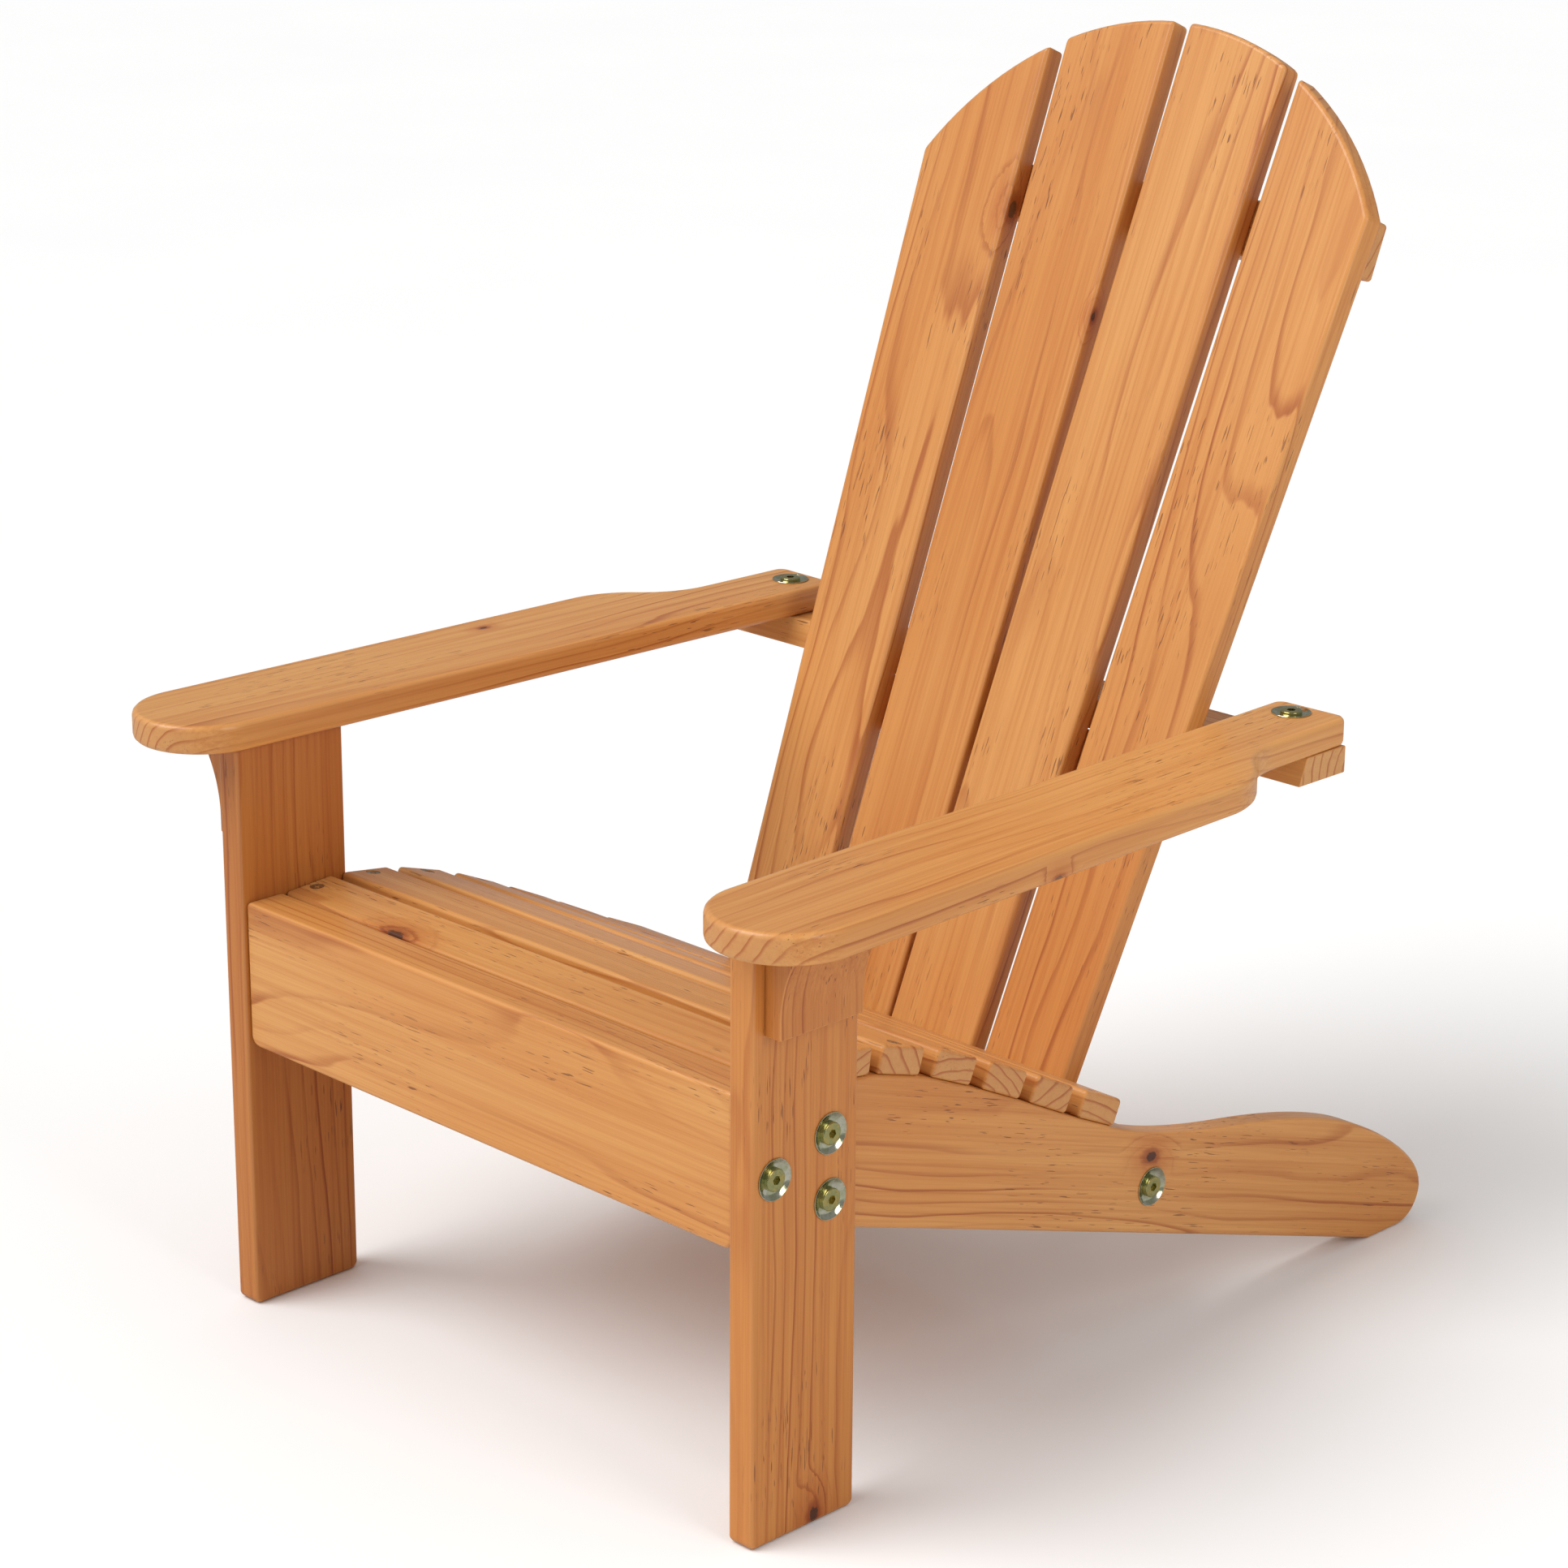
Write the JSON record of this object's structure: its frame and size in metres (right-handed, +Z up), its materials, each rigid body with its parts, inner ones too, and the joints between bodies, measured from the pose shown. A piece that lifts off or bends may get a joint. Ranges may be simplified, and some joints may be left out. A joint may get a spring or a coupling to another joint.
{
  "type": "adirondack chair",
  "caption": "Child's adirondack chair: sloping slatted seat, fanned arched slat back, wide flat arms, and side boards that run down to the floor behind. Softwood, bolted and screwed.",
  "frame": {"origin": "on the floor, below the middle of the chair's overall width and depth", "axes": "+Z up; +Y from the front of the seat to the back; +X to the right as seen from in front; the sitter faces -Y"},
  "size_m": [0.4818, 0.5526, 0.6282],
  "materials": {
    "softwood": "honey-coloured softwood under clear satin lacquer",
    "dowel_wood": "bare hardwood dowel",
    "washer_steel": "bright zinc plated, faintly yellow",
    "yellow_zinc": "yellow zinc plated steel, satin",
    "screw_steel": "zinc plated steel"
  },
  "bodies": {
    "root": {"left_front_leg": "softwood", "right_front_leg": "softwood", "left_stringer": "softwood", "right_stringer": "softwood", "front_apron": "softwood", "seat_slat_1": "softwood", "seat_slat_2": "softwood", "seat_slat_3": "softwood", "seat_slat_4": "softwood", "seat_slat_5": "softwood", "seat_slat_6": "softwood", "seat_slat_7": "softwood", "back_slat_1": "softwood", "back_slat_2": "softwood", "back_slat_3": "softwood", "back_slat_4": "softwood", "upper_back_brace": "softwood", "middle_back_brace": "softwood", "lower_crossbar": "softwood", "arm_support_bar": "softwood", "left_arm": "softwood", "right_arm": "softwood", "left_arm_bracket": "softwood", "right_arm_bracket": "softwood", "dished_washers": "washer_steel", "apron_bolts": "yellow_zinc", "stringer_bolts": "yellow_zinc", "crossbar_bolts": "yellow_zinc", "arm_bolts": "yellow_zinc", "apron_barrel_nuts": "screw_steel", "crossbar_barrel_nuts": "screw_steel", "stringer_insert_nuts": "yellow_zinc", "arm_insert_nuts": "yellow_zinc", "seat_screws": "screw_steel", "upper_brace_screws": "screw_steel", "middle_brace_screws": "screw_steel", "crossbar_screws": "screw_steel", "support_bar_screws": "screw_steel", "bracket_screws": "screw_steel", "arm_dowels": "dowel_wood", "bracket_dowels": "dowel_wood"}
  },
  "joints": []
}
